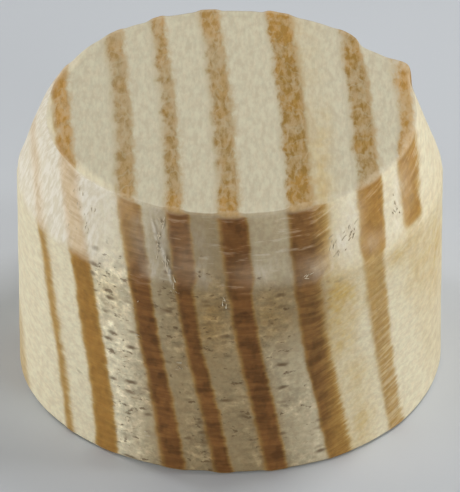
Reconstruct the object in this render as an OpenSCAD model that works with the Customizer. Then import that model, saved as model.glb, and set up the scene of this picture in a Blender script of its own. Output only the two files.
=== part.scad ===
// Cross-grain softwood plug. It is pressed and glued into a counterbore, over
// the head of a screw, and then trimmed flush with the surface round it.
// It stands here on its flush end, with its chamfered lead-in end up.
// The wood's fibres run along Y, so the wall shows end grain at -Y and +Y.

/* [Plug] */
// Diameter of the plug, which is that of the counterbore it fills
plug_d = 12.7; // [6:0.1:50]
// Height from the flush end to the lead-in end
plug_h = 8.75; // [4.5:0.05:40]

/* [Lead-in chamfer] */
// Height of the chamfer along the axis
lead_h = 2.2; // [0.6:0.05:3]
// How far the chamfer comes in from the wall
lead_in = 0.8; // [0.2:0.05:1.5]

/* [Eased rims] */
// Radius that eases the rim of the flush end
flush_ease = 0.12; // [0.05:0.01:0.4]
// Radius that eases the rim of the lead-in end
lead_ease = 0.15; // [0.05:0.01:0.4]

/* [Hidden] */
$fn = 96;

wall_r = plug_d / 2;
wall_top = plug_h - lead_h;
lead_r = wall_r - lead_in;

// Angle of the chamfer from the axis
lead_angle = atan(lead_in / lead_h);

// Where an arc of radius lead_ease touches both the chamfer and the end face:
// the distance from their corner to each of the two tangent points
lead_tangent = lead_ease * tan((90 - lead_angle) / 2);

// The two tangent points of the eased lead-in rim
lead_rim_low = [
    lead_r + lead_tangent * sin(lead_angle),
    plug_h - lead_tangent * cos(lead_angle)
];
lead_rim_top = [lead_r - lead_tangent, plug_h];

// Half section of the plug, to the right of its axis. Each eased rim is a
// straight cut across the corner, filled out by the circle that touches both
// of the sides that meet there.
module half_section() {
    polygon([
        [0, 0],
        [wall_r - flush_ease, 0],
        [wall_r, flush_ease],
        [wall_r, wall_top],
        lead_rim_low,
        lead_rim_top,
        [0, plug_h]
    ]);
    translate([wall_r - flush_ease, flush_ease])
        circle(r = flush_ease);
    translate([lead_rim_top.x, plug_h - lead_ease])
        circle(r = lead_ease);
}

// The whole plug, one turned piece of wood
module plug() {
    color([0.80, 0.73, 0.57])
        rotate_extrude()
            half_section();
}

plug();
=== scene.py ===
"""The looks of a cross-grain softwood plug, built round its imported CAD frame.

The plug is one piece of pine. Its fibres run along Y, its growth rings follow
one another along X, and it stands on its flush end. Every length in the wood's
own functions is in millimetres, and becomes metres when a mesh is made.
"""

import math
from collections import namedtuple

import bpy
import numpy as np
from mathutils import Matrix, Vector


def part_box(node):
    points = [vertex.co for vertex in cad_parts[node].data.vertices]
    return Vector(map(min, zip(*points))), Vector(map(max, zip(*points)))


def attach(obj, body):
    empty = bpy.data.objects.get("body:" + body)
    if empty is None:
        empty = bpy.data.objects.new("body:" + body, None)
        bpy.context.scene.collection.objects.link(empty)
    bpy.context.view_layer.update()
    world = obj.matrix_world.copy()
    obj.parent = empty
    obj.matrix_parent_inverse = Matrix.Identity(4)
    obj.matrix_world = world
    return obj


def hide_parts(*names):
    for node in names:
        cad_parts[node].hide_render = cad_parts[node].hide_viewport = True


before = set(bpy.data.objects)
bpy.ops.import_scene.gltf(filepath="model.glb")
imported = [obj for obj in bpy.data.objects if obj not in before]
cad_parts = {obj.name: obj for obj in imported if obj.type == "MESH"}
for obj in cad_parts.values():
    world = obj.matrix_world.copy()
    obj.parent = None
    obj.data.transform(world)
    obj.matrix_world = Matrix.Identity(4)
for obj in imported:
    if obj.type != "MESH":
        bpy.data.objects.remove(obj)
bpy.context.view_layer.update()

bl_info = {
    "name": "Wooden Plug",
    "version": (1, 0, 0),
    "blender": (4, 5, 0),
    "location": "View3D > Sidebar > Plug",
    "description": "Makes a pine screw-hole plug, its torn fibres and its studio",
    "category": "Object",
}

MM = 0.001
NODE = "plug"
BODY = "root"
FULL_TURN = 2 * math.pi

LOW, HIGH = (np.array(corner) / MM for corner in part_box(NODE))
HEIGHT = HIGH[2] - LOW[2]
WALL_R = (HIGH[0] - LOW[0]) / 2

# A band of latewood: where its middle lies across the lead-in end, its width,
# how far it fades out on each side, how strong it is on the sawn ends and on
# the cut sides, and how it leans and bows to the right with depth. The one
# without any strength only steers the rings beside it.
Band = namedtuple("Band", "middle width fade_left fade_right sawn cut lean bow")

WIDEST = 1.80  # the middle of the widest band
LAST = 5.24  # the middle of the last band that crosses the lead-in end

BANDS = (
    Band(-7.30, 0.26, 0.20, 0.14, 0.50, 0.35, 0.130, -0.0010),
    Band(-5.95, 0.16, 0.16, 0.16, 0.80, 0.55, 0.122, -0.0010),
    Band(-4.97, 0.38, 0.22, 0.20, 0.90, 1.00, 0.190, -0.0075),
    Band(-3.20, 0.44, 0.30, 0.18, 0.78, 1.00, 0.160, -0.0012),
    Band(-1.84, 0.36, 0.26, 0.18, 0.83, 0.98, 0.110, 0.0060),
    Band(-0.25, 0.52, 0.28, 0.20, 0.82, 1.00, 0.135, 0.0028),
    Band(WIDEST, 0.62, 0.20, 0.36, 1.00, 0.79, 0.062, 0.0088),
    Band(3.89, 0.56, 0.24, 0.22, 0.91, 0.51, 0.030, 0.0102),
    Band(4.60, 0.00, 0.10, 0.10, 0.00, 0.00, 0.030, 0.0102),
    Band(LAST, 0.42, 0.20, 0.16, 0.88, 0.53, 0.160, 0.0000),
    Band(6.95, 0.30, 0.20, 0.16, 0.60, 0.40, 0.120, 0.0000),
)
SEEN_BANDS = tuple(band for band in BANDS if band.sawn > 0)

# How much pale fibre the cutter has dragged over the bands, and how much is
# torn out of the end grain, at places across the rings
DRAGGED = (
    (-5.8, 0.12), (-4.9, 0.06), (-3.2, 0.12), (1.7, 0.12),
    (2.2, 0.42), (4.4, 0.42), (5.2, 0.30),
)
TORN = (
    (-5.6, 0.12), (-4.9, 0.25), (-4.6, 0.88), (-3.7, 0.72), (-3.2, 0.30),
    (-2.6, 0.35), (-2.1, 0.72), (-1.6, 0.30), (-0.4, 0.48), (0.0, 0.36),
    (1.8, 0.22), (2.1, 0.18), (3.0, 0.06),
)

# A patch on the front: its middle, its reach along X and Z, and its strength
Spot = namedtuple("Spot", "x z wide tall amount")

# Where pale crushed fibres show on the front of the chamfer
PALE = (
    Spot(-2.05, 8.15, 0.18, 0.70, 0.50),
    Spot(-4.70, 7.80, 0.50, 1.00, 0.46),
    Spot(-2.60, 8.00, 0.50, 0.90, 0.32),
    Spot(-2.50, 6.95, 0.60, 0.30, 0.30),
    Spot(-1.10, 7.90, 0.60, 1.10, 0.14),
    Spot(-0.85, 7.00, 0.30, 0.40, 0.34),
    Spot(-1.45, 7.15, 0.35, 0.40, 0.06),
    Spot(0.30, 7.10, 0.40, 0.35, 0.12),
    Spot(1.10, 7.05, 0.50, 0.45, 0.40),
    Spot(2.40, 6.90, 0.50, 0.36, 0.48),
    Spot(3.00, 7.15, 0.30, 0.45, 0.30),
    Spot(3.45, 7.70, 0.38, 0.85, 0.60),
    Spot(4.25, 7.05, 0.35, 0.28, 0.30),
    Spot(4.95, 7.60, 0.32, 0.75, 0.55),
)

# Where resin has stained the front of the plug
STAINED = (
    Spot(-3.60, 5.80, 0.50, 0.80, 0.30),
    Spot(-0.55, 5.60, 0.50, 1.30, 0.65),
    Spot(1.20, 5.60, 0.60, 0.90, 0.55),
    Spot(2.72, 7.75, 0.24, 0.85, 0.80),
    Spot(3.10, 5.75, 0.80, 0.95, 1.00),
    Spot(3.30, 4.30, 0.45, 0.80, 0.70),
    Spot(3.80, 2.70, 0.45, 0.70, 0.50),
    Spot(3.95, 1.00, 0.40, 0.90, 0.60),
    Spot(5.10, 6.30, 0.60, 0.50, 0.65),
    Spot(5.60, 5.20, 0.50, 1.00, 0.50),
    Spot(6.10, 4.80, 0.30, 1.60, 0.60),
)

# The split in the chamfer: where it crosses a height, how far it moves to the
# left for each millimetre up, and how wide it is
SPLIT_X = -1.98
SPLIT_Z = 7.6
SPLIT_LEAN = 0.21
SPLIT_WIDE = 0.09

# A tuft of torn fibres: its middle, as a turn from the front in degrees and a
# height, its reach round and up the plug, how steeply its fibres rise and how
# many there are
Tuft = namedtuple("Tuft", "turn z wide tall rise count")

TUFTS = (
    Tuft(-14.5, 6.50, 0.14, 0.18, 115, 7),
    Tuft(-20.5, 7.90, 0.06, 0.65, 95, 14),
    Tuft(-17.5, 7.00, 0.10, 0.30, 110, 7),
    Tuft(-30.0, 4.60, 0.50, 1.60, 20, 26),
    Tuft(-28.0, 1.80, 0.50, 1.30, 20, 22),
    Tuft(-12.5, 3.90, 0.15, 0.25, 150, 6),
    Tuft(-1.5, 6.05, 0.06, 0.20, 95, 4),
    Tuft(20.5, 6.75, 0.25, 0.08, 15, 6),
    Tuft(31.0, 7.35, 0.35, 0.30, 55, 14),
    Tuft(36.0, 7.60, 0.20, 0.25, 60, 9),
    Tuft(55.0, 7.60, 0.25, 0.30, 120, 9),
    Tuft(-48.0, 7.70, 0.60, 0.60, 75, 18),
    Tuft(150.0, 6.70, 1.50, 0.15, 40, 12),
)

# A fibre has rings of points at these parts of its length, and a root and a tip
FIBRE_SIDES = 5
FIBRE_PARTS = (0.0, 0.25, 0.50, 0.75, 1.0)

# A lamp: its name, the setting that holds its power, where it stands, in
# degrees from +X towards +Y and up from level, and its width and height
Lamp = namedtuple("Lamp", "name power azimuth elevation wide tall")

LAMPS = (
    Lamp("lamp_right", "right_light", 0, 15, 30, 30),
    Lamp("lamp_edge", "edge_light", -10, 40, 12, 12),
    Lamp("lamp_front", "front_light", -50, 15, 30, 30),
    Lamp("lamp_high", "high_light", 30, 60, 30, 30),
    Lamp("lamp_back", "back_light", 150, 50, 60, 40),
    Lamp("lamp_small", "small_light", 150, 30, 12, 12),
    Lamp("lamp_left", "left_light", 210, 10, 60, 40),
)
LAMP_DISTANCE = 90  # from the plug's middle, in millimetres


def shade(red, green, blue):
    """A linear colour from its usual values of 0 to 255."""
    return tuple(
        part / 255 / 12.92 if part <= 10 else ((part / 255 + 0.055) / 1.055) ** 2.4
        for part in (red, green, blue)
    )


# ---------------------------------------------------------------------------
# Sizes and colours
# ---------------------------------------------------------------------------

def length(name, description, default):
    """A length property, in metres."""
    return bpy.props.FloatProperty(
        name=name,
        description=description,
        default=default,
        min=0,
        precision=5,
        subtype="DISTANCE",
        unit="LENGTH",
    )


def colour(name, description, default):
    """A colour property."""
    return bpy.props.FloatVectorProperty(
        name=name,
        description=description,
        default=default,
        min=0,
        max=1,
        subtype="COLOR",
    )


def rows(name, description, default):
    """A number of rows or columns of faces."""
    return bpy.props.IntProperty(
        name=name,
        description=description,
        default=default,
        min=4,
    )


def watts(name, description, default):
    """The power of a lamp, in watts."""
    return bpy.props.FloatProperty(
        name=name,
        description=description,
        default=default,
        min=0,
        precision=4,
    )


class PlugWoodSettings(bpy.types.PropertyGroup):
    """The plug's own form and the colours of its wood."""

    lead_height: length("Lead-in height", "Height of the chamfer", 2.2 * MM)
    lead_in: length("Lead-in depth", "How far the chamfer comes in", 0.8 * MM)
    flush_ease: length("Flush rim", "Radius that eases the flush end's rim", 0.12 * MM)
    lead_ease: length("Lead-in rim", "Radius that eases the lead-in end's rim", 0.15 * MM)
    columns: rows("Columns", "Columns of faces round the plug, which must halve evenly", 576)
    wall_rows: rows("Wall rows", "Rows of faces up the straight wall", 82)
    lead_rows: rows("Lead-in rows", "Rows of faces up the chamfer", 28)
    ridge: length("Ridge", "How far latewood stands proud of earlywood", 0.030 * MM)
    crush: length("Crush", "How far earlywood is crushed at the lead-in rim", 0.05 * MM)
    crumble: length("Crumble", "Roughness of the torn end grain", 0.030 * MM)
    corner: length("Corner", "How far the hard corner at the back stands out", 0.32 * MM)
    early_sawn: colour("Sawn earlywood", "Earlywood on the ends", shade(200, 191, 166))
    late_sawn: colour("Sawn latewood", "Latewood on the ends", shade(157, 122, 61))
    late_gold: colour("Golden latewood", "Latewood near the rim", shade(182, 138, 70))
    early_cut: colour("Cut earlywood", "Earlywood on the wall's sides", shade(222, 211, 182))
    late_cut: colour("Cut latewood", "Latewood on the wall's sides", shade(160, 118, 58))
    early_end: colour("Earlywood end grain", "Earlywood across the fibres", shade(152, 133, 100))
    late_end: colour("Latewood end grain", "Latewood across the fibres", shade(116, 78, 41))
    late_edge: colour("Latewood edge", "The golden edges of latewood", shade(184, 151, 88))
    # The crushed fibre colours also paint the highlight along the lead-in rim, the latewood one
    # over latewood
    crushed: colour("Crushed fibres", "Pale torn and crushed fibres", shade(233, 226, 210))
    crushed_dull: colour("Duller fibres", "The duller crushed fibres", shade(216, 206, 185))
    crushed_late: colour("Crushed latewood", "Crushed fibres over latewood", shade(220, 194, 152))
    stain: colour("Stain", "Resin stain beside the latewood", shade(198, 168, 106))
    # Painted shade: it darkens the torn pits and the split's gap, over the torn wood's own brown
    hollow_shade: colour("Hollows", "The dark inside of the torn pits", shade(92, 68, 42))


class PlugFibresSettings(bpy.types.PropertyGroup):
    """The torn fibres that stand off the plug."""

    short: length("Shortest", "Length of the shortest fibres", 0.08 * MM)
    long: length("Longest", "Length of the longest fibres", 0.26 * MM)
    thick: length("Thickness", "Thickness at the root", 0.055 * MM)
    lift: length("Lift", "How far the tips stand off the wood", 0.03 * MM)
    sink: length("Sink", "How deep the roots are set into the wood", 0.04 * MM)
    pale: colour("Pale fibres", "Colour of the palest fibres", shade(210, 198, 172))
    dull: colour("Dull fibres", "Colour of the other fibres", shade(184, 166, 136))


class PlugStageSettings(bpy.types.PropertyGroup):
    """The floor, the lamps and the camera."""

    floor: colour("Floor", "Colour of the floor and the room", shade(200, 204, 208))
    reach: length("Reach", "From the plug's middle to the floor's nearest edge", 50 * MM)
    world: bpy.props.FloatProperty(
        name="Room light",
        description="Even light from all round",
        default=0.005,
        min=0,
    )
    right_light: watts("Right light", "Power of the low lamp on the right", 0.0175)
    edge_light: watts("Edge light", "Power of the small lamp on the right", 0.0100)
    front_light: watts("Front light", "Power of the low lamp in front", 0.0250)
    high_light: watts("High light", "Power of the high lamp behind on the right", 0.0390)
    back_light: watts("Back light", "Power of the high lamp behind on the left", 0.0175)
    small_light: watts("Small light", "Power of the small lamp behind on the left", 0.0150)
    left_light: watts("Left light", "Power of the low lamp on the left", 0.0435)
    elevation: bpy.props.FloatProperty(
        name="Elevation",
        description="How far the camera looks down",
        default=math.radians(34.34),
        subtype="ANGLE",
    )
    distance: length("Distance", "From the camera to the plug", 254 * MM)
    view_height: length("View height", "Height of the view across the plug", 14.75 * MM)
    aim_height: length("Aim height", "Height that the camera looks at", 3.85 * MM)


# ---------------------------------------------------------------------------
# The wood, worked out at points in millimetres
# ---------------------------------------------------------------------------

def smoothstep(start, end, value):
    """0 before start, 1 past end, and a smooth change between them. Where the
    end is the lower one, the step falls instead of rising."""
    part = np.clip((value - start) / (end - start), 0, 1)
    return part * part * (3 - 2 * part)


def hill(middle, reach, value):
    """1 at middle, falling smoothly to nothing about twice reach away."""
    return np.exp(-(((value - middle) / reach) ** 2))


def cell_value(cells, seed):
    """A fixed value from -1 to 1 for each cell of a lattice, scattered by
    large odd numbers."""
    mixed = cells[:, 0] * 374761393 + cells[:, 1] * 668265263
    mixed = mixed + cells[:, 2] * 2147483629 + seed * 1274126177
    mixed = mixed & 0xFFFFFFFF
    mixed = ((mixed ^ (mixed >> 13)) * 1274126177) & 0xFFFFFFFF
    mixed = mixed ^ (mixed >> 16)
    return mixed / 2**31 - 1


def lumps(points, per_mm, seed):
    """Smooth noise from -1 to 1, with per_mm lumps to the millimetre."""
    scaled = points * np.asarray(per_mm, dtype=float)
    cells = np.floor(scaled).astype(np.int64)
    part = scaled - cells
    part = part * part * (3 - 2 * part)
    total = np.zeros(len(points))
    for corner in np.ndindex(2, 2, 2):
        near = np.where(corner, part, 1 - part)
        total += near.prod(axis=1) * cell_value(cells + corner, seed)
    return total


def ring_place(points):
    """Where each point lies across the growth rings: the x at which its ring
    crosses the middle of the lead-in end."""
    x, y, z = points.T
    depth = HEIGHT - z
    across = x + 0.057 * y + 0.0024 * y * y
    # The last ring lies a little further in at the front
    across += 0.045 * np.clip(y, -2.3, 0) ** 2 * smoothstep(4.4, 5.2, x)
    across += 0.05 * lumps(points, (0.15, 0.45, 0.45), 11)
    middles = [band.middle for band in BANDS]
    leans = [band.lean for band in BANDS]
    bows = [band.bow for band in BANDS]
    ring = across
    # A ring's lean depends on the ring itself, so it is found in a few rounds
    for _ in range(4):
        lean = np.interp(ring, middles, leans)
        bow = np.interp(ring, middles, bows)
        ring = across - lean * depth - bow * depth**2
    return ring


def band_edges(band):
    """Where a band starts and ends rising, and starts and ends falling."""
    soft = 0.08
    left = band.middle - band.width / 2
    right = band.middle + band.width / 2
    return left - band.fade_left, left + soft, right - soft, right + band.fade_right


def latewood(ring):
    """1 in a band of latewood and 0 in the earlywood."""
    most = np.zeros(len(ring))
    for band in SEEN_BANDS:
        start, full, falling, gone = band_edges(band)
        here = smoothstep(start, full, ring) * (1 - smoothstep(falling, gone, ring))
        most = np.maximum(most, here)
    return most


def at_rings(ring, table):
    """How much there is at each ring, from a table of places and amounts."""
    places, amounts = zip(*table)
    return np.interp(ring, places, amounts)


def patches(points, spots):
    """The spots together, from 0 to 1, on the front of the plug only."""
    x, y, z = points.T
    rest = np.ones(len(points))
    for spot in spots:
        here = hill(spot.x, spot.wide, x) * hill(spot.z, spot.tall, z)
        rest *= 1 - spot.amount * here * smoothstep(0.5, -0.5, y)
    return 1 - rest


# ---------------------------------------------------------------------------
# The plug's form
# ---------------------------------------------------------------------------

class Form:
    """The plug's smooth form, as rings of points round its axis."""

    FLUSH, SIDE, LEAD = range(3)
    SMALLEST = 0.3  # the radius inside which columns aren't halved any more

    def __init__(self):
        self.points = []
        self.normals = []
        self.runs = []
        self.triangles = []
        self.zones = []
        self.count = 0

    def ring(self, radius, z, lean, columns, run=0.0):
        """Adds a ring of points and returns where it starts and its columns.
        Its normals lean up from level, and run is its distance up the side."""
        turn = np.arange(columns) * FULL_TURN / columns
        outward = np.stack([np.sin(turn), -np.cos(turn), np.zeros(columns)], 1)
        upward = np.array([0.0, 0.0, 1.0])
        self.points.append(radius * outward + z * upward)
        self.normals.append(math.cos(lean) * outward + math.sin(lean) * upward)
        self.runs.append(np.full(columns, run))
        start = self.count
        self.count += columns
        return start, columns

    def join(self, lower, upper, zone):
        """Adds the triangles between two rings. The upper one has as many
        columns as the lower one, half as many, or just one."""
        start, columns = lower
        other, others = upper
        here = np.arange(columns)
        after = (here + 1) % columns
        if others == columns:
            made = [
                (start + here, start + after, other + after),
                (start + here, other + after, other + here),
            ]
        elif others == 1:
            made = [(start + here, start + after, np.full(columns, other))]
        else:
            half = np.arange(others)
            next_half = (half + 1) % others
            even = start + 2 * half
            even_after = start + (2 * half + 2) % columns
            made = [
                (even, even + 1, other + half),
                (even + 1, other + next_half, other + half),
                (even + 1, even_after, other + next_half),
            ]
        for corners in made:
            if zone == self.FLUSH:
                corners = corners[::-1]
            self.triangles.append(np.stack(corners, 1))
            self.zones.append(np.full(len(corners[0]), zone))

    def end_face(self, rim, radius, z, lean, step, zone):
        """Fills an end face from its rim to its middle, with half as many
        columns each time the radius has halved."""
        last = rim
        columns = rim[1]
        while columns % 2 == 0 and radius > self.SMALLEST:
            inner = radius / 2
            steps = max(1, round((radius - inner) / step))
            for part in np.linspace(radius, inner, steps + 1)[1:-1]:
                new = self.ring(part, z, lean, columns)
                self.join(last, new, zone)
                last = new
            columns //= 2
            new = self.ring(inner, z, lean, columns)
            self.join(last, new, zone)
            last = new
            radius = inner
        self.join(last, self.ring(0, z, lean, 1), zone)

    def done(self):
        """The form's arrays, in one tuple."""
        return (
            np.concatenate(self.points),
            np.concatenate(self.normals),
            np.concatenate(self.runs),
            np.concatenate(self.triangles),
            np.concatenate(self.zones),
        )


def arc_rows(middle_r, middle_z, radius, leans):
    """The rows of an eased rim, round a middle."""
    return [
        (
            middle_r + radius * math.cos(lean),
            middle_z + radius * math.sin(lean),
            lean,
        )
        for lean in leans
    ]


def straight_rows(start, end, lean, parts):
    """The rows at some parts of the way between two places."""
    return [
        (
            start[0] + part * (end[0] - start[0]),
            start[1] + part * (end[1] - start[1]),
            lean,
        )
        for part in parts
    ]


def side_rows(s):
    """The radius, height and lean of each ring up the plug's side, from the
    flush end's eased rim to the lead-in end's."""
    quarter = math.pi / 2
    slope = math.atan2(s.lead_in, s.lead_height)
    lead_r = WALL_R - s.lead_in / MM
    flush = s.flush_ease / MM
    ease = s.lead_ease / MM
    tangent = ease * math.tan((quarter - slope) / 2)
    wall_start = (WALL_R, flush)
    wall_end = (WALL_R, HEIGHT - s.lead_height / MM)
    lead_end = (
        lead_r + tangent * math.sin(slope),
        HEIGHT - tangent * math.cos(slope),
    )
    wall_parts = np.linspace(0, 1, s.wall_rows + 1)[1:-1]
    lead_parts = np.linspace(0, 1, s.lead_rows + 1)[1:]
    return [
        *arc_rows(WALL_R - flush, flush, flush, np.linspace(-quarter, 0, 5)),
        *straight_rows(wall_start, wall_end, 0.0, wall_parts),
        (*wall_end, slope / 2),
        *straight_rows(wall_end, lead_end, slope, lead_parts),
        *arc_rows(lead_r - tangent, HEIGHT - ease, ease, np.linspace(slope, quarter, 6)[1:]),
    ]


def plug_form(s):
    """The whole form: points, normals, runs, triangles and zones."""
    form = Form()
    side = side_rows(s)
    run = 0.0
    place = side[0][:2]
    rings = []
    for radius, z, lean in side:
        run += math.dist(place, (radius, z))
        place = (radius, z)
        rings.append(form.ring(radius, z, lean, s.columns, run))
    for lower, upper in zip(rings, rings[1:]):
        form.join(lower, upper, Form.SIDE)
    # The flush end is plain, and the lead-in end has finer faces
    form.end_face(rings[0], side[0][0], 0, -math.pi / 2, 0.35, Form.FLUSH)
    form.end_face(rings[-1], side[-1][0], HEIGHT, math.pi / 2, 0.10, Form.LEAD)
    return form.done()


class Wood:
    """What the wood does at each point of the smooth form. Its values are from
    0 to 1, its lengths are in millimetres and its turns in degrees."""

    def __init__(self, s, points, normals):
        self.s = s
        self.points = points
        self.y, self.z = points[:, 1], points[:, 2]
        self.turn = np.degrees(np.arctan2(points[:, 0], -self.y))
        self.radius = np.hypot(points[:, 0], self.y)
        self.foot = HEIGHT - s.lead_height / MM
        self.end_r = WALL_R - s.lead_in / MM
        self.ring = ring_place(points)
        self.late = latewood(self.ring)
        self.top = smoothstep(0.60, 0.95, normals[:, 2])
        self.facing = np.abs(normals[:, 1])
        level = np.maximum(np.hypot(normals[:, 0], normals[:, 1]), 0.05)
        self.end = self.end_grain(self.facing / level)
        self.left = smoothstep(-28, -46, self.turn) * smoothstep(-140, -105, self.turn)
        self.pale = self.crushed()
        self.pitted = self.torn()

    def end_grain(self, square):
        """How far the fibres are cut across, where they meet the side nearly
        square. Earlywood to the right is less dark, but for a patch below the
        chamfer."""
        lighter = smoothstep(0.0, 0.4, self.ring) * (1 - self.late)
        patch = smoothstep(3.6, 5.6, self.z)
        patch *= smoothstep(self.foot + 0.4, self.foot - 0.1, self.z)
        lighter *= 1 - patch
        return smoothstep(0.83, 0.975, square) * (1 - 0.30 * lighter)

    def crushed(self):
        """How far the chamfer's fibres are crushed and pale, most of all on the
        left. A thin pale line round the lead-in end's rim is painted highlight,
        stronger over latewood."""
        points, z = self.points, self.z
        ragged = self.foot + 0.10 * lumps(points, (1.3, 1.3, 0.3), 21)
        ragged += 0.06 * lumps(points, (4, 4, 0.4), 22)
        above = smoothstep(ragged - 0.10, ragged + 0.20, z)
        back = smoothstep(110, 130, np.abs(self.turn)) * hill(self.foot + 0.5, 0.5, z)
        back *= smoothstep(-0.2, 0.5, lumps(points, (1.0, 1.0, 1.5), 23))
        front = patches(points, PALE) * (0.85 + 0.75 * lumps(points, (2.2, 2.2, 1.6), 24))
        pale = 1 - (1 - 0.86 * self.left) * (1 - front) * (1 - 0.5 * back)
        inside = smoothstep(self.end_r - 0.05, self.end_r - 0.15, self.radius)
        pale *= above * (1 - self.top * inside)
        # Painted highlight: a thin pale line where the eased lead-in rim would catch the light
        edge = smoothstep(self.end_r - 0.19, self.end_r - 0.11, self.radius)
        edge *= smoothstep(HEIGHT - 0.15, HEIGHT - 0.08, z)
        return np.maximum(pale, (0.12 + 0.18 * self.late) * edge)

    def torn(self):
        """How much is torn out of the end grain below the chamfer."""
        pitted = at_rings(self.ring, TORN) * (0.5 + 0.5 * self.end)
        pitted *= 0.75 + 0.6 * lumps(self.points, (1.0, 1.0, 0.8), 43)
        pitted *= smoothstep(0.60, 0.78, self.facing)
        return pitted * smoothstep(self.foot + 2.0, self.foot + 0.2, self.z)

    def stained(self):
        """Resin has seeped to the right of the widest band, and in patches."""
        seep = smoothstep(WIDEST + 0.2, WIDEST + 0.4, self.ring)
        seep *= smoothstep(WIDEST + 1.5, WIDEST + 0.5, self.ring)
        seep *= 0.35 + 0.5 * smoothstep(-0.4, 0.5, lumps(self.points, (1.2, 0.5, 0.8), 61))
        return 1 - (1 - 0.5 * seep) * (1 - patches(self.points, STAINED))

    def faded(self):
        """The last band on the right is rubbed pale below the chamfer."""
        below = smoothstep(self.foot + 0.45, self.foot + 0.15, self.z)
        return hill(LAST, 0.6, self.ring) * below

    def dragged(self):
        """The cutter has dragged pale fibres over the bands, more lower down."""
        lower = smoothstep(self.foot + 0.2, self.foot - 4.5, self.z)
        return at_rings(self.ring, DRAGGED) * (0.35 + 0.65 * lower)

    def values(self):
        """The values that the wood's material reads."""
        return {
            "ring": self.ring,
            "end_grain": self.end,
            # pale holds the crushed fibres and the painted highlight along the lead-in rim
            "pale": self.pale,
            "pitted": self.pitted,
            "stain": self.stained(),
            "faded": self.faded(),
            "dragged": self.dragged(),
        }

    def relief(self):
        """How far the wood stands off the smooth form along its normal."""
        s, points, late, top = self.s, self.points, self.late, self.top
        relief = 0.014 * lumps(points, 0.5, 31) + 0.005 * lumps(points, 1.6, 32)
        proud = late - 0.5 + 0.35 * lumps(points, (2.5, 0.5, 2.5), 33)
        relief += s.ridge / MM * proud * (0.2 * top + 0.8 * self.end + 0.4)
        relief += 0.006 * lumps(points, (6, 1.2, 6), 34) * top
        rim = smoothstep(HEIGHT - 0.5, HEIGHT - 0.02, self.z)
        rim *= smoothstep(self.end_r - 0.55, self.end_r - 0.20, self.radius)
        softness = (1 - late) * (0.7 + 0.5 * lumps(points, (1.6, 1.6, 0.5), 35))
        relief -= s.crush / MM * rim * (softness + 1.6 * self.left)
        crumbs = 0.5 + lumps(points, (3.5, 3.5, 5.0), 41)
        relief -= s.crumble / MM * self.pitted * crumbs
        relief += 0.014 * self.pale * lumps(points, (4.5, 4.5, 0.9), 51) * (1 - top)
        relief += hill(self.foot + 0.1, 0.16, self.z) * 0.016 * lumps(points, 3.0, 52)
        return relief

    def push(self):
        """How far the wood is pushed outward: latewood at the back on the right
        was too hard to crush."""
        hard = hill(LAST - 0.06, 0.20, self.ring) - 0.60 * hill(LAST - 0.84, 0.36, self.ring)
        hard *= smoothstep(0.5, 2.5, self.y)
        push = self.s.corner / MM * hard
        push *= smoothstep(self.end_r - 1.15, self.end_r - 0.05, self.radius)
        return push * smoothstep(self.foot, HEIGHT - 0.1, self.z)


# ---------------------------------------------------------------------------
# Making meshes
# ---------------------------------------------------------------------------

def new_mesh(name, points, triangles, values):
    """A smooth-shaded mesh, in metres, with a named value at each point."""
    mesh = bpy.data.meshes.new(name)
    mesh.vertices.add(len(points))
    mesh.vertices.foreach_set("co", (points * MM).ravel())
    mesh.loops.add(triangles.size)
    mesh.loops.foreach_set("vertex_index", triangles.ravel())
    mesh.polygons.add(len(triangles))
    mesh.polygons.foreach_set("loop_start", np.arange(0, triangles.size, 3))
    mesh.update(calc_edges=True)
    mesh.validate()
    mesh.polygons.foreach_set("use_smooth", np.ones(len(triangles), dtype=bool))
    for key, value in values.items():
        attribute = mesh.attributes.new(key, "FLOAT", "POINT")
        attribute.data.foreach_set("value", value.astype(np.float32))
    piece = bpy.data.objects.new(name, mesh)
    bpy.context.scene.collection.objects.link(piece)
    return piece


def lay_out_map(mesh, points, runs, triangles, zones):
    """Lays the surface out flat at one scale: the front and the back of the
    side as two strips, with the two end faces beside each other."""
    margin = 0.3
    side_high = runs.max()
    side_long = WALL_R * math.pi
    corners = triangles.ravel()
    zone = np.repeat(zones, 3)
    x, y = points[corners, 0], points[corners, 1]
    turn = np.arctan2(x, -y)
    back = np.abs(turn.reshape(-1, 3)).mean(axis=1) > math.pi / 2
    back = np.repeat(back, 3)
    across = np.where(back, turn % FULL_TURN - math.pi, turn) * WALL_R
    flat = np.empty((len(corners), 2))
    flat[:, 0] = margin + side_long / 2 + across
    flat[:, 1] = margin + runs[corners] + back * (side_high + margin)
    discs = margin + 2 * (side_high + margin) + WALL_R
    flush = zone == Form.FLUSH
    lead = zone == Form.LEAD
    flat[flush, 0] = margin + WALL_R + x[flush]
    flat[flush, 1] = discs - y[flush]
    flat[lead, 0] = 2 * margin + 3 * WALL_R + x[lead]
    flat[lead, 1] = discs + y[lead]
    whole = discs + WALL_R + margin
    layer = mesh.uv_layers.new(name="OFBake")
    layer.uv.foreach_set("vector", (flat / whole).ravel())


def smooth_surface(s, turn, z):
    """The smooth form's points, and which way it faces there, at some turns
    from the front, in radians, and some heights."""
    foot = HEIGHT - s.lead_height / MM
    radius = WALL_R - s.lead_in / s.lead_height * np.maximum(z - foot, 0)
    slope = math.atan2(s.lead_in, s.lead_height) * (z > foot)
    outward = np.stack([np.sin(turn), -np.cos(turn), np.zeros_like(turn)], 1)
    points = radius[:, None] * outward
    points[:, 2] = z
    facing = np.cos(slope)[:, None] * outward
    facing[:, 2] = np.sin(slope)
    return points, facing


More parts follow.
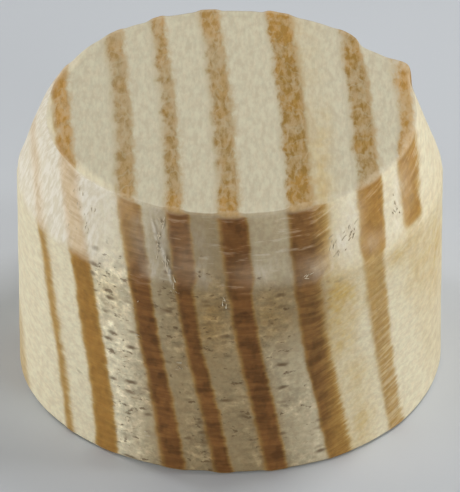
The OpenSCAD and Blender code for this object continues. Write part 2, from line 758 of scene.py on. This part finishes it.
def fibre_triangles(count):
    """The triangles of some fibres: a fan over each root, rings of faces up
    its length and a fan round its tip."""
    sides = FIBRE_SIDES
    here = np.arange(sides)
    after = (here + 1) % sides
    last = 1 + sides * (len(FIBRE_PARTS) - 1)
    tip = last + sides
    corners = [np.stack([np.zeros(sides, dtype=int), 1 + after, 1 + here], 1)]
    for start in range(1, last, sides):
        upper = start + sides
        corners.append(np.stack([start + here, start + after, upper + after], 1))
        corners.append(np.stack([start + here, upper + after, upper + here], 1))
    corners.append(np.stack([last + here, last + after, np.full(sides, tip)], 1))
    starts = (np.arange(count) * (tip + 1))[:, None, None]
    return (np.concatenate(corners)[None] + starts).reshape(-1, 3)


def fibre_form(s, wood):
    """The points and triangles of every fibre, each one a closed sliver that
    tapers from its root in the wood to its tip."""
    random = np.random.default_rng(5)
    turns, heights, rises = [], [], []
    for tuft in TUFTS:
        spread = random.uniform(-1, 1, (2, tuft.count))
        turns.append(math.radians(tuft.turn) + spread[0] * tuft.wide / WALL_R)
        heights.append(tuft.z + spread[1] * tuft.tall)
        rises.append(tuft.rise + random.normal(0, 18, tuft.count))
    turn = np.concatenate(turns)
    z = np.clip(np.concatenate(heights), 0.3, HEIGHT - 0.3)
    rise = np.radians(np.concatenate(rises))[:, None]
    roots, facing = smooth_surface(wood, turn, z)
    level = np.stack([np.cos(turn), np.sin(turn), np.zeros_like(turn)], 1)
    upward = np.cross(facing, -level)
    upward *= np.sign(upward[:, 2:])
    way = np.cos(rise) * level + np.sin(rise) * upward
    across = np.cross(facing, way)
    count = len(turn)
    reach = random.uniform(s.short, s.long, (count, 1)) / MM
    lift = random.uniform(0.3, 1.0, (count, 1)) * s.lift / MM
    bend = random.normal(0, 0.06, (count, 1)) * reach
    thick = random.uniform(0.6, 1.0, (count, 1)) * s.thick / MM / 2

    def middle(part):
        """The middle of each fibre, at a part of its length."""
        raised = lift * part**2 * 2 - s.sink / MM * (1 - part) ** 4
        return roots + way * reach * part + across * bend * part**2 + facing * raised

    around = np.arange(FIBRE_SIDES) * FULL_TURN / FIBRE_SIDES
    rings = [middle(0.0)[:, None, :]]
    for part in FIBRE_PARTS:
        size = thick * (1 - 0.8 * part)
        ring = np.cos(around)[None, :, None] * (across * size)[:, None, :]
        ring = ring + np.sin(around)[None, :, None] * (facing * size)[:, None, :]
        rings.append(middle(part)[:, None, :] + ring)
    tip = roots + way * reach * 1.08 + across * bend * 1.15 + facing * lift * 2.1
    rings.append(tip[:, None, :])
    points = np.concatenate(rings, axis=1)
    return points.reshape(-1, 3), fibre_triangles(count)


# ---------------------------------------------------------------------------
# Materials
# ---------------------------------------------------------------------------

class Graph:
    """Adds nodes to a material or a node group and links them up."""

    def __init__(self, tree):
        self.tree = tree
        self.count = 0

    def add(self, kind, inputs=None, **settings):
        """A new node. An input that is a socket is linked, and any other
        value is set on it."""
        made = self.tree.nodes.new(kind)
        made.location = (180 * (self.count % 12), -220 * (self.count // 12))
        self.count += 1
        for key, value in settings.items():
            setattr(made, key, value)
        for key, value in (inputs or {}).items():
            if isinstance(value, bpy.types.NodeSocket):
                self.tree.links.new(value, made.inputs[key])
            else:
                made.inputs[key].default_value = value
        return made

    def maths(self, operation, values, clamp=False):
        """One operation over some values in turn, clamped at its end."""
        total = values[0]
        for place, value in enumerate(values[1:], 2):
            total = self.add(
                "ShaderNodeMath",
                {0: total, 1: value},
                operation=operation,
                use_clamp=clamp and place == len(values),
            ).outputs[0]
        return total

    def times(self, *values, clamp=False):
        """The product of some values."""
        return self.maths("MULTIPLY", values, clamp)

    def plus(self, *values, clamp=False):
        """The sum of some values."""
        return self.maths("ADD", values, clamp)

    def less(self, first, second):
        """The first value less the second one."""
        return self.maths("SUBTRACT", (first, second))

    def rest(self, value):
        """What a value leaves of 1."""
        return self.less(1.0, value)

    def most(self, *values):
        """The largest of some values."""
        return self.maths("MAXIMUM", values)

    def size(self, value):
        """A value without its sign."""
        return self.maths("ABSOLUTE", (value, 0.0))

    def swing(self, value, size):
        """A noise from 0 to 1 made to swing about 0, over a size."""
        return self.times(self.less(value, 0.5), size)

    def step(self, value, low, high, low_out=0.0, high_out=1.0):
        """A smooth step from low_out to high_out as value passes low to high."""
        made = self.add(
            "ShaderNodeMapRange",
            {0: value, 1: low, 2: high, 3: low_out, 4: high_out},
            interpolation_type="SMOOTHSTEP",
        )
        return made.outputs[0]

    def vector(self, operation, *values):
        """One operation on vectors."""
        made = self.add(
            "ShaderNodeVectorMath",
            dict(enumerate(values)),
            operation=operation,
        )
        return made.outputs["Value" if operation == "LENGTH" else "Vector"]

    def coords(self):
        """The place on the object, in metres."""
        return self.add("ShaderNodeTexCoord").outputs["Object"]

    def noise(self, place, per_mm, detail=2.0, roughness=0.5, distortion=0.0):
        """Noise from 0 to 1, with per_mm lumps to the millimetre."""
        made = self.add(
            "ShaderNodeTexNoise",
            {
                "Vector": self.vector("MULTIPLY", place, per_mm),
                "Scale": 1.0,
                "Detail": detail,
                "Roughness": roughness,
                "Distortion": distortion,
            },
        )
        return made.outputs["Fac"]

    def mix(self, factor, first, second, blend="MIX"):
        """Two colours, mixed by a factor."""
        first, second = (
            value if isinstance(value, bpy.types.NodeSocket) else (*value, 1)
            for value in (first, second)
        )
        made = self.add(
            "ShaderNodeMix",
            {0: factor, 6: first, 7: second},
            data_type="RGBA",
            blend_type=blend,
        )
        return made.outputs[2]

    def toned(self, base, tone, factor=1.0):
        """A colour made darker or lighter by a tone, as far as the factor."""
        return self.mix(factor, base, tone, "MULTIPLY")

    def value(self, name):
        """A named value that the mesh holds at its points."""
        made = self.add("ShaderNodeAttribute", attribute_name=name)
        return made.outputs["Fac"]

    def group(self, name, inputs):
        """The outputs of a shared node group, with its inputs by name."""
        return self.add("ShaderNodeGroup", inputs, node_tree=shared_group(name)).outputs


def new_group(name, inputs, outputs):
    """The graph of an empty node group, and what it is given. Its inputs are
    values with their defaults, or vectors where that is None, and its outputs
    are values."""
    tree = bpy.data.node_groups.new(name, "ShaderNodeTree")
    for key, default in inputs.items():
        kind = "NodeSocketVector" if default is None else "NodeSocketFloat"
        socket = tree.interface.new_socket(key, in_out="INPUT", socket_type=kind)
        if default is not None:
            socket.default_value = default
    for key in outputs:
        tree.interface.new_socket(key, in_out="OUTPUT", socket_type="NodeSocketFloat")
    g = Graph(tree)
    return g, g.add("NodeGroupInput").outputs


def growth_rings_group():
    """Latewood from 0 to 1 across the rings, shifted by Fray and widened to the
    right by Spread, in millimetres. Cut is 1 on the cut sides and 0 on the sawn
    ends."""
    inputs = {"Ring": 0.0, "Fray": 0.0, "Spread": 0.0, "Cut": 1.0}
    g, given = new_group("growth_rings", inputs, ["Latewood"])
    ring = g.plus(given["Ring"], given["Fray"])
    right_ring = g.less(ring, given["Spread"])
    shown = []
    for band in SEEN_BANDS:
        start, full, falling, gone = band_edges(band)
        rise = g.step(ring, start, full)
        fall = g.step(right_ring, falling, gone, 1, 0)
        strength = g.step(given["Cut"], 0, 1, band.sawn, band.cut)
        shown.append(g.times(rise, fall, strength))
    g.add("NodeGroupOutput", {"Latewood": g.most(*shown)})
    return g.tree


def fibre_grain_group():
    """Fibres drawn out along Y, as fine streaks, as a net of single hairs, as
    mottling and as broad clouds, each from 0 to 1."""
    g, given = new_group(
        "fibre_grain",
        {"Place": None},
        ["Streaks", "Net", "Mottling", "Clouds"],
    )
    place = given["Place"]
    net = g.noise(place, (2.6, 1.2, 2.6), detail=2, distortion=0.3)
    g.add(
        "NodeGroupOutput",
        {
            "Streaks": g.noise(place, (10.0, 2.4, 10.0), detail=3, roughness=0.6),
            "Net": g.step(g.size(g.less(net, 0.5)), 0.0, 0.07, 1.0, 0.0),
            "Mottling": g.noise(place, (5.5, 2.2, 5.5), detail=4, roughness=0.6),
            "Clouds": g.noise(place, (0.9, 0.7, 0.9), detail=2),
        },
    )
    return g.tree


def torn_pits_group():
    """Dashes and dots torn out of the end grain, and the crumbly wood round
    them, each from 0 to 1. Amount says how many there are."""
    inputs = {"Place": None, "Amount": 0.0}
    g, given = new_group("torn_pits", inputs, ["Pits", "Crumbs"])
    place, amount = given["Place"], given["Amount"]
    wobble = g.add("ShaderNodeTexNoise", {"Vector": place, "Scale": 3.5, "Detail": 2.0})
    wobble = g.vector("MULTIPLY_ADD", wobble.outputs["Color"], (0.16, 0.16, 0.12), place)
    cells = g.vector("MULTIPLY", wobble, (1.8, 1.8, 4.6))
    cell = g.add("ShaderNodeTexVoronoi", {"Vector": cells, "Scale": 1.0})
    chance = g.add("ShaderNodeSeparateColor", {0: cell.outputs["Color"]}).outputs[0]
    there = g.step(g.plus(chance, amount), 0.95, 1.15)
    dashes = g.times(there, g.step(cell.outputs["Distance"], 0.10, 0.50, 1, 0))
    marks = g.noise(wobble, (2.6, 2.6, 5.2), detail=3, roughness=0.65)
    marks = g.step(g.less(marks, g.times(amount, 0.12)), 0.28, 0.36, 0.85, 0)
    marks = g.times(marks, g.step(amount, 0.04, 0.2))
    crumbs = g.noise(wobble, (3.6, 3.6, 4.6), detail=3, roughness=0.6)
    g.add("NodeGroupOutput", {"Pits": g.most(dashes, marks), "Crumbs": crumbs})
    return g.tree


def shared_group(name):
    """A node group by name, made when it's first wanted."""
    makers = {
        "growth_rings": growth_rings_group,
        "fibre_grain": fibre_grain_group,
        "torn_pits": torn_pits_group,
    }
    return bpy.data.node_groups.get(name) or makers[name]()


def new_material(name):
    """An empty material, its graph and the place on the object in millimetres."""
    material = bpy.data.materials.new(name)
    material.use_nodes = True
    material.node_tree.nodes.clear()
    g = Graph(material.node_tree)
    return material, g, g.vector("MULTIPLY", g.coords(), (1 / MM, 1 / MM, 1 / MM))


def finish_wood(g, inputs):
    """Ends a material in the shader that all of the wood has."""
    inputs = {**inputs, "IOR": 1.45, "Specular IOR Level": 0.2}
    shader = g.add("ShaderNodeBsdfPrincipled", inputs)
    output = g.add("ShaderNodeOutputMaterial", {"Surface": shader.outputs[0]})
    g.tree.nodes.active = output


class Pine:
    """The look of the plug's wood, worked out step by step on one graph. What
    the steps share is made first."""

    def __init__(self, g, s, place):
        self.g = g
        self.s = s
        self.foot = HEIGHT - s.lead_height / MM
        self.across, self.along, self.height = g.add("ShaderNodeSeparateXYZ", {0: place}).outputs
        lead_end = g.step(self.height, HEIGHT - 0.14, HEIGHT - 0.03)
        flush_end = g.step(self.height, 0.02, 0.10, 1.0, 0.0)
        self.sawn = g.most(lead_end, flush_end)
        self.side = g.rest(self.sawn)
        self.ring = g.value("ring")
        self.end = g.value("end_grain")
        self.pale = g.value("pale")
        self.dragged = g.value("dragged")
        pitted = g.value("pitted")

        grain = g.group("fibre_grain", {"Place": place})
        self.streaks, self.net, self.mottling, self.clouds = grain
        self.grain = g.plus(self.streaks, self.mottling)
        self.scores = self.cutter_lines()
        self.blots = g.noise(place, (2.3, 2.3, 1.8), detail=2)
        self.hairs = g.noise(place, (7.0, 7.0, 1.4), detail=3, roughness=0.6)

        self.late = self.latewood()
        self.early = g.rest(self.late)
        self.score_depth = g.times(
            self.side,
            g.step(self.late, 0.2, 0.9, 0.15, 1.0),
            g.step(self.end, 0.0, 0.5, 0.5, 1.0),
        )
        pits, self.crumbs = g.group("torn_pits", {"Place": place, "Amount": pitted})
        open_grain = g.times(self.side, self.early)
        self.crumbly = g.times(open_grain, g.step(pitted, 0.05, 0.35))
        self.holes = g.times(pits, open_grain)
        self.lip, self.gap = self.split()

    def cutter_lines(self):
        """The cutter's lines run round the plug, and climb on its right."""
        g = self.g
        climb = g.times(g.most(g.less(self.across, 2.5), 0.0), 0.4)
        turned = g.add(
            "ShaderNodeCombineXYZ",
            {0: self.across, 1: self.along, 2: g.less(self.height, climb)},
        )
        return g.noise(turned.outputs[0], (0.9, 0.9, 6.5), detail=3, roughness=0.65)

    def fray(self):
        """How far a band's edges stray, in millimetres: along the fibres where
        it is sawn, and round the plug where it is cut."""
        g = self.g
        sawn = g.times(g.plus(g.times(self.clouds, 0.8), g.less(self.mottling, 0.9)), 0.34)
        ragged = g.plus(g.times(self.dragged, 0.34), 0.08)
        lobes = g.swing(self.blots, 0.13)
        cut = g.plus(g.swing(self.scores, ragged), lobes)
        return g.plus(g.times(sawn, self.sawn), g.times(cut, self.side))

    def spread(self):
        """The chamfer's slanting cut smears the bands wider, the widest one
        most."""
        g = self.g
        return g.times(
            g.step(self.across, 1.0, 2.2, 0.14, 0.34),
            g.step(self.across, 3.0, 5.0, 1, 0),
            g.step(self.across, -3.0, -1.6),
            g.step(self.height, self.foot - 0.05, self.foot + 0.35),
            self.side,
        )

    def latewood(self):
        """How much latewood shows."""
        g = self.g
        inputs = {
            "Ring": self.ring,
            "Fray": self.fray(),
            "Spread": self.spread(),
            "Cut": self.side,
        }
        late = g.group("growth_rings", inputs)[0]
        late = g.times(late, g.rest(g.times(g.value("faded"), 0.68)))
        # The bands on the right are stronger on the chamfer than on the wall
        firm = g.times(
            g.step(self.height, self.foot + 0.05, self.foot + 0.45),
            g.step(self.across, 3.0, 3.8),
            g.step(self.ring, 4.2, 5.0, 0.65, 0.42),
            self.side,
        )
        late = g.times(late, g.plus(firm, 1.0), clamp=True)
        # It is mottled on the sawn ends, with pale fibres dragged over it
        patchy = g.plus(g.times(self.mottling, 0.6), g.times(self.clouds, 0.4))
        worn = g.times(
            g.step(patchy, 0.36, 0.60, 0.60, 1.0),
            g.step(self.along, -5.3, -3.5, 1.20, 1.0),
            g.step(late, 0.2, 0.9, 0.70, 1.20),
            g.step(self.streaks, 0.34, 0.64, 0.84, 1.0),
            g.step(self.net, 0, 1, 1.0, 0.80),
        )
        drag = g.times(self.dragged, g.step(self.scores, 0.38, 0.66, 0.0, 0.75))
        return g.times(late, g.mix(self.sawn, g.rest(drag), worn), clamp=True)

    def split(self):
        """The split that runs down the chamfer: its pale lip, and its gap, where a shadow is
        painted.
        """
        g = self.g
        path = g.plus(
            self.across,
            g.times(g.less(self.height, SPLIT_Z), SPLIT_LEAN),
            g.swing(self.clouds, 0.7),
            -SPLIT_X,
        )
        here = g.times(
            g.step(self.height, self.foot - 0.05, self.foot + 0.25),
            g.step(self.height, HEIGHT - 0.45, HEIGHT - 0.15, 1, 0),
            g.step(self.along, -3.0, -4.0),
            g.step(self.crumbs, 0.40, 0.58, 0.25, 1.0),
        )
        lip = g.step(g.size(path), 0.0, SPLIT_WIDE, 1, 0)
        gap = g.step(g.size(g.less(path, SPLIT_WIDE)), 0.0, SPLIT_WIDE - 0.01, 1, 0)
        return g.times(lip, here), g.times(gap, here)

    def sawn_latewood(self):
        """Brown in the middle of the ends, and golden towards the rim."""
        g, s = self.g, self.s
        outer = g.most(
            g.step(g.size(self.ring), 3.9, 5.1),
            g.step(self.along, 1.5, 5.0, 0.0, 0.5),
            g.step(self.along, -3.0, -5.0, 0.0, 0.35),
        )
        outer = g.plus(outer, g.less(self.clouds, 0.5), clamp=True)
        tan = g.mix(outer, s.late_sawn, s.late_gold)
        return g.toned(tan, g.step(self.grain, 0.80, 1.20, 1.20, 0.80))

    def clean(self):
        """Colour by the way the fibres are cut: sawn ends, planed sides, end
        grain. Latewood has a golden edge where it is cut."""
        g, s = self.g, self.s
        early = g.mix(self.sawn, s.early_cut, s.early_sawn)
        early = g.mix(self.end, early, s.early_end)
        brown = g.mix(g.step(self.end, 0.0, 0.6), s.late_cut, s.late_end)
        gold = g.mix(g.step(self.end, 0.0, 0.9, 0.2, 0.5), s.late_edge, brown)
        gilt = g.mix(g.step(self.late, 0.0, 0.62), early, gold)
        cut = g.mix(g.step(self.late, 0.24, 0.96), gilt, brown)
        return g.mix(self.sawn, cut, g.mix(self.late, early, self.sawn_latewood()))

    def stained(self, base):
        """Resin stains the earlywood, in soft blots."""
        g, s = self.g, self.s
        amount = g.times(
            g.value("stain"),
            g.step(self.scores, 0.35, 0.6, 0.70, 1.0),
            g.step(self.blots, 0.38, 0.58, 0.80, 1.20),
            clamp=True,
        )
        brown = g.mix(0.55, s.stain, s.late_end)
        stain = g.mix(g.step(self.end, 0.15, 0.6), s.stain, brown)
        return g.mix(g.times(amount, self.early), base, stain)

    def uneven(self, base):
        """Streaks, blots and a faint tint, with lighter end grain near the top.
        Painted light makes the wall's end grain lighter low down and darker
        up by the chamfer."""
        g = self.g
        blotch = g.times(
            g.step(self.blots, 0.48, 0.64, 0.12, -0.22),
            g.step(self.end, 0.0, 1.0, 0.5, 1.0),
            self.late,
            self.side,
        )
        tone = g.plus(
            g.step(self.grain, 0.72, 1.28, 0.90, 1.08),
            # Painted light: end grain lighter low on the wall and darker up near the chamfer
            g.times(self.end, g.step(self.height, 1.0, self.foot - 0.05, 0.06, -0.03)),
            g.times(self.end, g.step(self.height, HEIGHT - 1.05, HEIGHT - 0.35, 0.0, 0.09)),
            blotch,
        )
        tint = g.mix(
            g.step(self.mottling, 0.35, 0.65),
            (1.0, 0.975, 0.945),
            (0.975, 1.0, 0.985),
        )
        return g.toned(g.toned(base, tone), tint)

    def scored(self, base):
        """Faint lines that the cutter scored round the wall and the chamfer."""
        g = self.g
        return g.toned(base, g.step(self.scores, 0.34, 0.66, 0.80, 1.16), self.score_depth)

    def crumbled(self, base):
        """Torn end grain is uneven, with pale flecks."""
        g = self.g
        base = g.toned(base, g.step(self.crumbs, 0.34, 0.62, 0.80, 1.12), self.crumbly)
        flecks = g.times(self.crumbly, g.step(self.crumbs, 0.56, 0.70, 0.0, 0.5))
        return g.toned(base, (1.6, 1.6, 1.65), flecks)

    def crushed(self, base):
        """Pale crushed fibres over the chamfer, which let the rings and the
        torn pits show through, with a painted highlight along the lead-in rim.
        The pits and the split's gap are darkened with painted shade."""
        g, s = self.g, self.s
        wisps = g.mix(self.late, g.swing(self.hairs, 1.4), g.swing(self.scores, 1.4))
        # The pale cover also carries the painted highlight along the lead-in rim
        cover = g.plus(self.pale, g.times(wisps, self.pale), clamp=True)
        cover = g.times(cover, g.step(self.pale, 0.6, 0.9, 0.85, 0.92))
        loose = g.times(
            g.step(self.height, self.foot - 0.25, self.foot + 0.25, 0.0, 0.26),
            g.step(self.scores, 0.54, 0.70),
            self.side,
        )
        cover = g.most(cover, loose)
        fibres = g.mix(g.step(self.hairs, 0.36, 0.62), s.crushed_dull, s.crushed)
        fibres = g.mix(g.times(self.late, 0.7), fibres, s.crushed_late)
        base = g.mix(cover, base, fibres)
        # Painted shade darkens the torn pits, over the torn wood's own brown
        depth = g.times(self.holes, g.step(cover, 0.1, 0.7, 0.80, 0.50))
        base = g.mix(depth, base, s.hollow_shade)
        base = g.mix(g.times(self.lip, 0.50), base, s.crushed)
        # Painted shadow in the split's gap, beside its pale lip
        return g.mix(g.times(self.gap, 0.30), base, s.hollow_shade)

    def bump(self):
        """The finest relief, as a normal."""
        g = self.g
        height = g.plus(
            g.times(self.streaks, 0.35),
            g.times(g.less(self.lip, self.gap), 0.4),
            g.times(self.scores, self.score_depth, 0.3),
            g.times(self.holes, -1.2),
            g.times(self.crumbs, self.crumbly, 1.6),
            g.times(self.hairs, self.pale, 0.8),
        )
        inputs = {"Height": height, "Strength": 0.6, "Distance": 0.03 * MM}
        return g.add("ShaderNodeBump", inputs).outputs[0]


def wood_material(s):
    """Pine: growth rings, fibres, end grain, torn places and cutter marks."""
    material, g, place = new_material("plug_pine")
    pine = Pine(g, s, place)
    base = pine.clean()
    for step in (pine.stained, pine.uneven, pine.scored, pine.crumbled, pine.crushed):
        base = step(base)
    inputs = {
        "Base Color": base,
        "Roughness": g.step(pine.streaks, 0.3, 0.7, 0.62, 0.82),
        "Normal": pine.bump(),
    }
    finish_wood(g, inputs)
    return material


def fibre_material(s):
    """Torn fibres: pale, with streaks of the duller wood."""
    material, g, place = new_material("plug_fibre")
    grain = g.group("fibre_grain", {"Place": place})
    inputs = {
        "Base Color": g.mix(g.step(grain["Mottling"], 0.35, 0.55), s.dull, s.pale),
        "Roughness": g.step(grain["Streaks"], 0.3, 0.7, 0.6, 0.8),
    }
    finish_wood(g, inputs)
    return material


def floor_material(s):
    """Plain matt paper, which runs into the room's own colour far from the
    plug, so that the floor's edge doesn't show."""
    material = bpy.data.materials.new("floor_paper")
    material.use_nodes = True
    g = Graph(material.node_tree)
    shader = g.tree.nodes["Principled BSDF"]
    shader.inputs["Base Color"].default_value = (*s.floor, 1)
    shader.inputs["Roughness"].default_value = 0.6
    away = g.vector("LENGTH", g.coords())
    seen = g.add("ShaderNodeLightPath").outputs["Is Camera Ray"]
    lost = g.times(seen, g.step(away, 0.48 * s.reach, 0.94 * s.reach))
    room = g.add("ShaderNodeEmission", {"Color": (*s.floor, 1), "Strength": 1.0})
    both = g.add("ShaderNodeMixShader", {0: lost, 1: shader.outputs[0], 2: room.outputs[0]})
    g.tree.links.new(both.outputs[0], g.tree.nodes["Material Output"].inputs[0])
    material.cycles.emission_sampling = "NONE"
    return material


# ---------------------------------------------------------------------------
# The stage
# ---------------------------------------------------------------------------

def make_floor(scene, s):
    """A square floor just below the plug."""
    mesh = bpy.data.meshes.new("floor")
    far = s.reach
    low = -0.02 * MM
    mesh.from_pydata(
        [(-far, -far, low), (far, -far, low), (far, far, low), (-far, far, low)],
        [],
        [(0, 1, 2, 3)],
    )
    floor = bpy.data.objects.new("floor", mesh)
    scene.collection.objects.link(floor)
    mesh.materials.append(floor_material(s))


def make_lamp(scene, lamp, power):
    """A soft rectangular lamp that shines at the plug's middle."""
    data = bpy.data.lights.new(lamp.name, "AREA")
    data.shape = "RECTANGLE"
    data.size = lamp.wide * MM
    data.size_y = lamp.tall * MM
    data.energy = power
    made = bpy.data.objects.new(lamp.name, data)
    azimuth = math.radians(lamp.azimuth)
    elevation = math.radians(lamp.elevation)
    way = Vector((
        math.cos(elevation) * math.cos(azimuth),
        math.cos(elevation) * math.sin(azimuth),
        math.sin(elevation),
    ))
    made.location = way * LAMP_DISTANCE * MM + Vector((0, 0, HEIGHT * MM / 2))
    made.rotation_euler = way.to_track_quat("Z", "Y").to_euler()
    scene.collection.objects.link(made)


def make_room(scene, s):
    """Even light from all round, behind which the camera sees a plain colour."""
    world = bpy.data.worlds.new("room")
    world.use_nodes = True
    g = Graph(world.node_tree)
    seen = g.add("ShaderNodeLightPath").outputs["Is Camera Ray"]
    background = g.tree.nodes["Background"]
    g.tree.links.new(g.mix(seen, (1, 1, 1), s.floor), background.inputs[0])
    strength = g.plus(g.times(seen, 1 - s.world), s.world)
    g.tree.links.new(strength, background.inputs[1])
    scene.world = world
    scene.view_settings.view_transform = "Standard"


def make_camera(scene, s):
    """A camera in front, which looks down at the plug."""
    data = bpy.data.cameras.new("camera")
    data.lens = data.sensor_width * s.distance / s.view_height
    data.clip_start = 0.01
    data.clip_end = 10
    camera = bpy.data.objects.new("camera", data)
    aim = Vector((0, 0, s.aim_height))
    back = Vector((0, -math.cos(s.elevation), math.sin(s.elevation)))
    camera.location = aim + s.distance * back
    camera.rotation_euler = (-back).to_track_quat("-Z", "Y").to_euler()
    scene.collection.objects.link(camera)
    scene.camera = camera


# ---------------------------------------------------------------------------
# Operators
# ---------------------------------------------------------------------------

class PLUG_OT_wood(bpy.types.Operator):
    """Makes the plug's wood, with its relief and its material"""

    bl_idname = "plug.wood"
    bl_label = "Plug Wood"

    def execute(self, context):
        s = context.scene.plug_wood
        points, normals, runs, triangles, zones = plug_form(s)
        wood = Wood(s, points, normals)
        outward = points * (1, 1, 0) / np.maximum(wood.radius, 1)[:, None]
        made = points + normals * wood.relief()[:, None] + outward * wood.push()[:, None]
        made[:, 2] = np.maximum(made[:, 2], 0)
        piece = new_mesh("plug_wood", made, triangles, wood.values())
        lay_out_map(piece.data, points, runs, triangles, zones)
        piece.data.materials.append(wood_material(s))
        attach(piece, BODY)
        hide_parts(NODE)
        return {"FINISHED"}


class PLUG_OT_fibres(bpy.types.Operator):
    """Makes the torn fibres that stand off the plug's side"""

    bl_idname = "plug.fibres"
    bl_label = "Plug Fibres"

    def execute(self, context):
        s = context.scene.plug_fibres
        points, triangles = fibre_form(s, context.scene.plug_wood)
        piece = new_mesh("plug_fibres", points, triangles, {})
        piece.data.materials.append(fibre_material(s))
        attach(piece, BODY)
        return {"FINISHED"}


class PLUG_OT_stage(bpy.types.Operator):
    """Makes the floor, the lamps, the room light and the camera"""

    bl_idname = "plug.stage"
    bl_label = "Plug Stage"

    def execute(self, context):
        s = context.scene.plug_stage
        make_floor(context.scene, s)
        for lamp in LAMPS:
            make_lamp(context.scene, lamp, getattr(s, lamp.power))
        make_room(context.scene, s)
        make_camera(context.scene, s)
        return {"FINISHED"}


class PLUG_PT_panel(bpy.types.Panel):
    """Lists the plug's operators"""

    bl_idname = "PLUG_PT_panel"
    bl_label = "Plug"
    bl_space_type = "VIEW_3D"
    bl_region_type = "UI"
    bl_category = "Plug"

    def draw(self, context):
        for made in OPERATORS:
            self.layout.operator(made.bl_idname)


OPERATORS = (PLUG_OT_wood, PLUG_OT_fibres, PLUG_OT_stage)
SETTINGS = {
    "plug_wood": PlugWoodSettings,
    "plug_fibres": PlugFibresSettings,
    "plug_stage": PlugStageSettings,
}
CLASSES = (*SETTINGS.values(), *OPERATORS, PLUG_PT_panel)


def register():
    """Registers the classes, and hangs the settings on the scene."""
    for made in CLASSES:
        bpy.utils.register_class(made)
    for name, settings in SETTINGS.items():
        setattr(bpy.types.Scene, name, bpy.props.PointerProperty(type=settings))


def unregister():
    """Takes away what register has added."""
    for name in SETTINGS:
        delattr(bpy.types.Scene, name)
    for made in reversed(CLASSES):
        bpy.utils.unregister_class(made)


def main():
    """Makes everything in order."""
    register()
    bpy.ops.plug.wood()
    bpy.ops.plug.fibres()
    bpy.ops.plug.stage()


if __name__ == "__main__":
    main()
